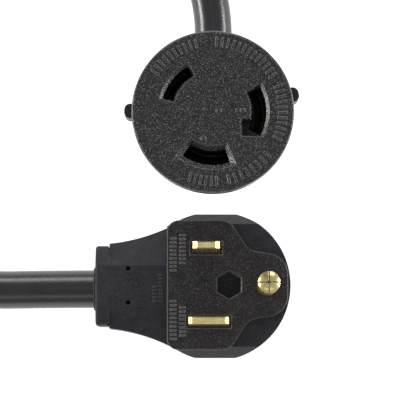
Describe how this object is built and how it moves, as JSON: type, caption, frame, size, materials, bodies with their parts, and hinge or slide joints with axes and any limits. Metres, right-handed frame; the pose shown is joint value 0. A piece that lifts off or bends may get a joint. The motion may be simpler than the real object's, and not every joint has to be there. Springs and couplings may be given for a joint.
{
  "type": "power adapter cord",
  "caption": "Short heavy-duty adapter cord: flat right-angle plug with parallel blades and a round ground pin at one end, round locking socket with curved slots at the other.",
  "frame": {"origin": "on the floor at the flat back of the plug, under the centre of its round head", "axes": "+Z along the prongs, away from the plug's back; the cord leaves the plug towards -X; the socket faces +Z"},
  "size_m": [0.1764, 0.1908, 0.1089],
  "materials": {
    "plug_moulding": "fine bead-blasted PVC moulding",
    "carrier_plastic": "fine matt nylon moulding",
    "socket_face_plastic": "bead-blasted moulding",
    "socket_moulding": "fine bead-blasted PVC moulding",
    "jacket": "smooth, slightly glossy",
    "brass": "bright, lightly brushed",
    "contact_brass": "dull and unpolished",
    "copper": "bright stranded copper",
    "clamp_steel": "plain",
    "insulation_black": "smooth",
    "insulation_white": "smooth",
    "insulation_green": "smooth"
  },
  "bodies": {
    "root": {"plug_housing": "plug_moulding", "plug_blade_carrier": "carrier_plastic", "plug_wide_blade": "brass", "plug_narrow_blade": "brass", "plug_ground_pin": "brass", "plug_cord_clamp": "clamp_steel", "socket_face": "socket_face_plastic", "socket_contact_carrier": "carrier_plastic", "socket_left_contact": "contact_brass", "socket_right_contact": "contact_brass", "socket_lower_contact": "contact_brass", "socket_body": "socket_moulding", "socket_strain_relief": "socket_moulding", "socket_cord_clamp": "clamp_steel", "cord_jacket": "jacket", "plug_ground_core_insulation": "insulation_green", "plug_ground_core_copper_strands": "copper", "plug_wide_core_insulation": "insulation_black", "plug_wide_core_copper_strands": "copper", "plug_narrow_core_insulation": "insulation_white", "plug_narrow_core_copper_strands": "copper", "socket_left_core_insulation": "insulation_black", "socket_left_core_copper_strands": "copper", "socket_right_core_insulation": "insulation_green", "socket_right_core_copper_strands": "copper", "socket_lower_core_insulation": "insulation_white", "socket_lower_core_copper_strands": "copper"}
  },
  "joints": []
}
